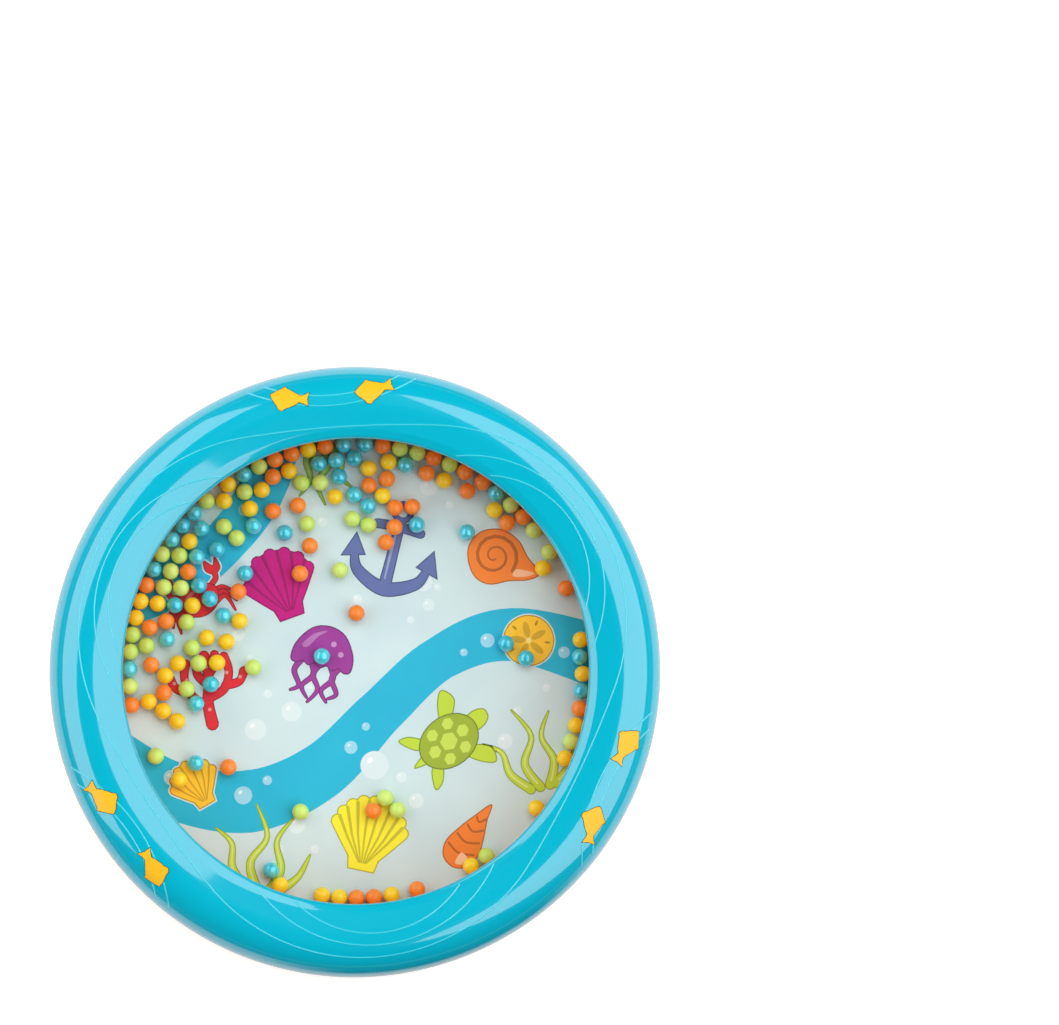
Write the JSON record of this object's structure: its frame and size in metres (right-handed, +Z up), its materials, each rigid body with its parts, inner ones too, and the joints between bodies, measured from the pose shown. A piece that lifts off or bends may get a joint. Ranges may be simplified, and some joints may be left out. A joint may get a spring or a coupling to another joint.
{
  "type": "ocean drum",
  "caption": "Flat round hand drum with a clear head over a printed head and loose coloured beads that roll between them with a sound like surf.",
  "frame": {"origin": "centre of the flat ring that the rear rim stands on, under the drum's middle", "axes": "+Z up, out of the clear front head; +Y towards the top of the picture, +X to its right"},
  "size_m": [0.204, 0.204, 0.0383],
  "materials": {
    "turquoise_plastic": "satin gloss",
    "golden_plastic": "satin gloss",
    "clear_window": "clear",
    "printed_sheet": "satin print",
    "fish_yellow": "satin",
    "screw_steel": "zinc plated",
    "bead_orange": "satin",
    "bead_yellow": "satin",
    "bead_lime": "satin",
    "bead_blue": "pearly gloss"
  },
  "bodies": {
    "drum": {"front_rim": "turquoise_plastic", "rear_rim": "golden_plastic", "chamber_wall": "golden_plastic", "front_head": "clear_window", "rear_head": "printed_sheet", "rim_screws": "screw_steel", "rim_fish_1": "fish_yellow", "rim_fish_2": "fish_yellow", "rim_fish_3": "fish_yellow", "rim_fish_4": "fish_yellow", "rim_fish_5": "fish_yellow", "rim_fish_6": "fish_yellow"},
    "bead_bed": {"orange_beads": "bead_orange", "yellow_beads": "bead_yellow", "lime_beads": "bead_lime", "blue_beads": "bead_blue"},
    "rolling_bead_1": {"loose_bead_1": "bead_orange"},
    "rolling_bead_2": {"loose_bead_2": "bead_lime"},
    "rolling_bead_3": {"loose_bead_3": "bead_lime"},
    "rolling_bead_4": {"loose_bead_4": "bead_blue"},
    "rolling_bead_5": {"loose_bead_5": "bead_orange"},
    "rolling_bead_6": {"loose_bead_6": "bead_blue"},
    "rolling_bead_7": {"loose_bead_7": "bead_lime"},
    "rolling_bead_8": {"loose_bead_8": "bead_yellow"}
  },
  "joints": [
    {"name": "bead_swirl", "type": "hinge", "parent": "drum", "child": "bead_bed", "pos_m": [0, 0, 0.00736], "axis": [0, 0, 1], "continuous": true},
    {"name": "bead_1_roll", "type": "slide", "parent": "bead_bed", "child": "rolling_bead_1", "axis": [1, 0, 0], "range_m": [-0.016, 0.024]},
    {"name": "bead_2_roll", "type": "slide", "parent": "bead_bed", "child": "rolling_bead_2", "axis": [1, 0, 0], "range_m": [-0.006, 0.014]},
    {"name": "bead_3_roll", "type": "slide", "parent": "bead_bed", "child": "rolling_bead_3", "axis": [1, 0, 0], "range_m": [-0.007, 0.028]},
    {"name": "bead_4_roll", "type": "slide", "parent": "bead_bed", "child": "rolling_bead_4", "axis": [0, -1, 0], "range_m": [0, 0.024]},
    {"name": "bead_5_roll", "type": "slide", "parent": "bead_bed", "child": "rolling_bead_5", "axis": [1, 0, 0], "range_m": [0, 0.024]},
    {"name": "bead_6_roll", "type": "slide", "parent": "bead_bed", "child": "rolling_bead_6", "axis": [0, -1, 0], "range_m": [0, 0.022]},
    {"name": "bead_7_roll", "type": "slide", "parent": "bead_bed", "child": "rolling_bead_7", "axis": [1, 0, 0], "range_m": [-0.01, 0.016]},
    {"name": "bead_8_roll", "type": "slide", "parent": "bead_bed", "child": "rolling_bead_8", "axis": [-0.8, 0.6, 0], "range_m": [0, 0.03]}
  ]
}
